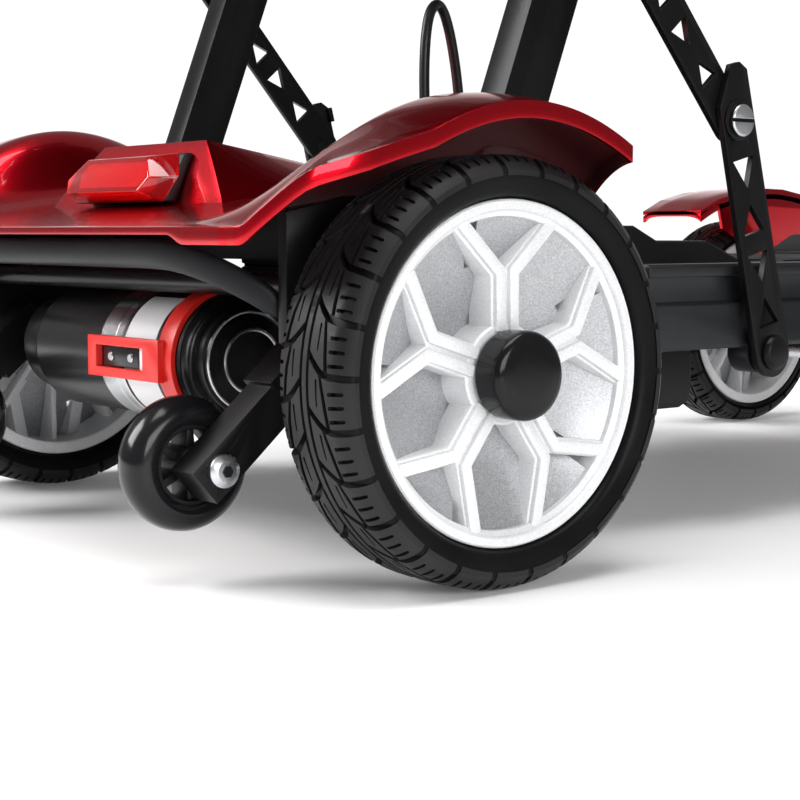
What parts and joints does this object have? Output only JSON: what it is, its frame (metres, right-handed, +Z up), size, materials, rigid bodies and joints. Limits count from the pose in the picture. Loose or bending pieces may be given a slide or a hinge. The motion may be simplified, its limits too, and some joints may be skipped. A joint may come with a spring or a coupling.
{
  "type": "folding mobility scooter",
  "caption": "Folding mobility scooter with a red rear cover, folding seat frame on links, steered front wheels, hinged tiller and anti-tip wheels.",
  "frame": {"origin": "middle of the overall box on the floor", "axes": "+X forward, +Y to the rider's left, +Z up"},
  "size_m": [0.942, 0.524, 0.8616],
  "materials": {
    "frame_black": "satin",
    "deck_metal": "satin",
    "plastic_black": "moulded, fine grain",
    "paint_red": "metallic gloss paint under clear coat",
    "lens_red": "clear red",
    "motor_black": "semi-gloss",
    "bright_aluminium": "polished",
    "steel": "machined",
    "tyre": "satin rubber",
    "rim_white": "white sparkle paint",
    "cap_black": "satin",
    "wheel_pu": "glossy",
    "cable": "matte",
    "lever_red": "satin",
    "grip": "matte",
    "upholstery": "grained",
    "lamp_clear": "clear over reflector"
  },
  "bodies": {
    "chassis": {"deck_frame": "deck_metal", "floor_panel": "plastic_black", "belly_pan": "plastic_black", "battery_pack": "plastic_black", "junction_box": "plastic_black", "controller_box": "plastic_black", "rear_frame": "frame_black", "rear_cover": "paint_red", "bumper_band": "plastic_black", "tail_light_housing": "plastic_black", "tail_light_lens": "lens_red", "motor_body": "motor_black", "motor_band": "bright_aluminium", "motor_end_cap": "motor_black", "gearbox_case": "bright_aluminium", "axle_bearings": "steel", "anti_tip_arms": "frame_black", "battery_lead": "cable", "lead_glands": "plastic_black", "fold_pins": "steel", "front_beam": "frame_black", "nose_frame": "frame_black", "nose_cover": "plastic_black"},
    "freewheel": {"freewheel_lever": "lever_red"},
    "tie": {"tie_rod": "steel"},
    "column": {"steering_shaft": "frame_black"},
    "tiller": {"tiller_tube": "frame_black", "console_body": "plastic_black", "handlebar": "grip", "head_lamp": "lamp_clear"},
    "throttle": {"throttle_lever": "plastic_black"},
    "horn": {"horn_button": "lever_red"},
    "dial": {"speed_dial": "plastic_black"},
    "post": {"seat_posts": "frame_black"},
    "lower_link": {"lower_links": "frame_black"},
    "upper_link": {"upper_links": "frame_black"},
    "seat": {"seat_pan": "frame_black", "seat_cushion": "upholstery"},
    "back": {"backrest_frame": "frame_black", "backrest_cushion": "upholstery"},
    "rear_wheel_right": {"rear_tyre_right": "tyre", "rear_rim_right": "rim_white", "rear_cap_right": "cap_black", "drive_shaft_right": "steel"},
    "knuckle_right": {"knuckle_right": "frame_black", "front_fender_right": "paint_red"},
    "front_wheel_right": {"front_tyre_right": "tyre", "front_rim_right": "rim_white"},
    "anti_tip_right": {"anti_tip_wheel_right": "wheel_pu"},
    "armrest_right": {"armrest_right": "upholstery"},
    "rear_wheel_left": {"rear_tyre_left": "tyre", "rear_rim_left": "rim_white", "rear_cap_left": "cap_black", "drive_shaft_left": "steel"},
    "knuckle_left": {"knuckle_left": "frame_black", "front_fender_left": "paint_red"},
    "front_wheel_left": {"front_tyre_left": "tyre", "front_rim_left": "rim_white"},
    "anti_tip_left": {"anti_tip_wheel_left": "wheel_pu"},
    "armrest_left": {"armrest_left": "upholstery"}
  },
  "joints": [
    {"name": "seat_fold", "type": "hinge", "parent": "chassis", "child": "post", "pos_m": [-0.2877, 0, 0.135], "axis": [0, 1, 0], "range_deg": [0, 52]},
    {"name": "lower_link_swing", "type": "hinge", "parent": "chassis", "child": "lower_link", "pos_m": [-0.088, 0, 0.1], "axis": [0, 1, 0], "range_deg": [0, 88.7]},
    {"name": "knee_bend", "type": "hinge", "parent": "lower_link", "child": "upper_link", "pos_m": [-0.1217, 0, 0.22969], "axis": [0, 1, 0], "range_deg": [-112.4, 0]},
    {"name": "seat_level", "type": "hinge", "parent": "post", "child": "seat", "pos_m": [-0.16164, 0, 0.46686], "axis": [0, 1, 0], "range_deg": [-53, 0]},
    {"name": "backrest_fold", "type": "hinge", "parent": "seat", "child": "back", "pos_m": [-0.34314, 0, 0.60886], "axis": [0, 1, 0], "range_deg": [0, 97]},
    {"name": "armrest_flip_right", "type": "hinge", "parent": "back", "child": "armrest_right", "pos_m": [-0.36571, -0.2105, 0.73689], "axis": [0, -1, 0], "range_deg": [0, 92]},
    {"name": "armrest_flip_left", "type": "hinge", "parent": "back", "child": "armrest_left", "pos_m": [-0.36571, 0.2105, 0.73689], "axis": [0, -1, 0], "range_deg": [0, 92]},
    {"name": "steer", "type": "hinge", "parent": "chassis", "child": "column", "pos_m": [0.341, 0, 0.111], "axis": [-0.2924, 0, 0.9563], "range_deg": [-40, 40]},
    {"name": "knuckle_turn_right", "type": "hinge", "parent": "chassis", "child": "knuckle_right", "pos_m": [0.341, -0.15, 0.089], "axis": [0, 0, 1], "range_deg": [-27, 27]},
    {"name": "knuckle_turn_left", "type": "hinge", "parent": "chassis", "child": "knuckle_left", "pos_m": [0.341, 0.15, 0.089], "axis": [0, 0, 1], "range_deg": [-27, 27]},
    {"name": "tie_rod_slide", "type": "slide", "parent": "chassis", "child": "tie", "axis": [0, 1, 0], "range_m": [-0.0215, 0.0215]},
    {"name": "tiller_fold", "type": "hinge", "parent": "column", "child": "tiller", "pos_m": [0.2913, 0, 0.27357], "axis": [0, 1, 0], "range_deg": [-8, 45]},
    {"name": "throttle", "type": "hinge", "parent": "tiller", "child": "throttle", "pos_m": [0.14219, 0, 0.76129], "axis": [-0.2924, 0, 0.9563], "range_deg": [-12, 12], "stiffness_Nm_per_rad": 0.6},
    {"name": "horn_press", "type": "slide", "parent": "tiller", "child": "horn", "axis": [0.2924, 0, -0.9563], "range_m": [0, 0.003], "stiffness_N_per_m": 300},
    {"name": "speed_set", "type": "hinge", "parent": "tiller", "child": "dial", "pos_m": [0.08955, 0.04, 0.84454], "axis": [-0.2924, 0, 0.9563], "range_deg": [0, 270]},
    {"name": "freewheel_turn", "type": "hinge", "parent": "chassis", "child": "freewheel", "pos_m": [-0.374, 0, 0.102], "axis": [0, 1, 0], "range_deg": [0, 25]},
    {"name": "rear_spin_right", "type": "hinge", "parent": "chassis", "child": "rear_wheel_right", "pos_m": [-0.329, -0.2245, 0.1025], "axis": [0, 1, 0], "continuous": true},
    {"name": "rear_spin_left", "type": "hinge", "parent": "chassis", "child": "rear_wheel_left", "pos_m": [-0.329, 0.2245, 0.1025], "axis": [0, 1, 0], "continuous": true},
    {"name": "front_spin_right", "type": "hinge", "parent": "knuckle_right", "child": "front_wheel_right", "pos_m": [0.341, -0.205, 0.089], "axis": [0, 1, 0], "continuous": true},
    {"name": "front_spin_left", "type": "hinge", "parent": "knuckle_left", "child": "front_wheel_left", "pos_m": [0.341, 0.205, 0.089], "axis": [0, 1, 0], "continuous": true},
    {"name": "anti_tip_spin_right", "type": "hinge", "parent": "chassis", "child": "anti_tip_right", "pos_m": [-0.438, -0.132, 0.058], "axis": [0, 1, 0], "continuous": true},
    {"name": "anti_tip_spin_left", "type": "hinge", "parent": "chassis", "child": "anti_tip_left", "pos_m": [-0.438, 0.132, 0.058], "axis": [0, 1, 0], "continuous": true}
  ],
  "couplings": [
    {"joint": "lower_link_swing", "follows": "seat_fold", "ratio": 1.6874},
    {"joint": "knee_bend", "follows": "seat_fold", "ratio": -2.1427},
    {"joint": "seat_level", "follows": "seat_fold", "ratio": -1},
    {"joint": "knuckle_turn_right", "follows": "steer", "ratio": 0.667},
    {"joint": "knuckle_turn_left", "follows": "steer", "ratio": 0.667},
    {"joint": "tie_rod_slide", "follows": "steer", "m_per_rad": -0.03}
  ]
}
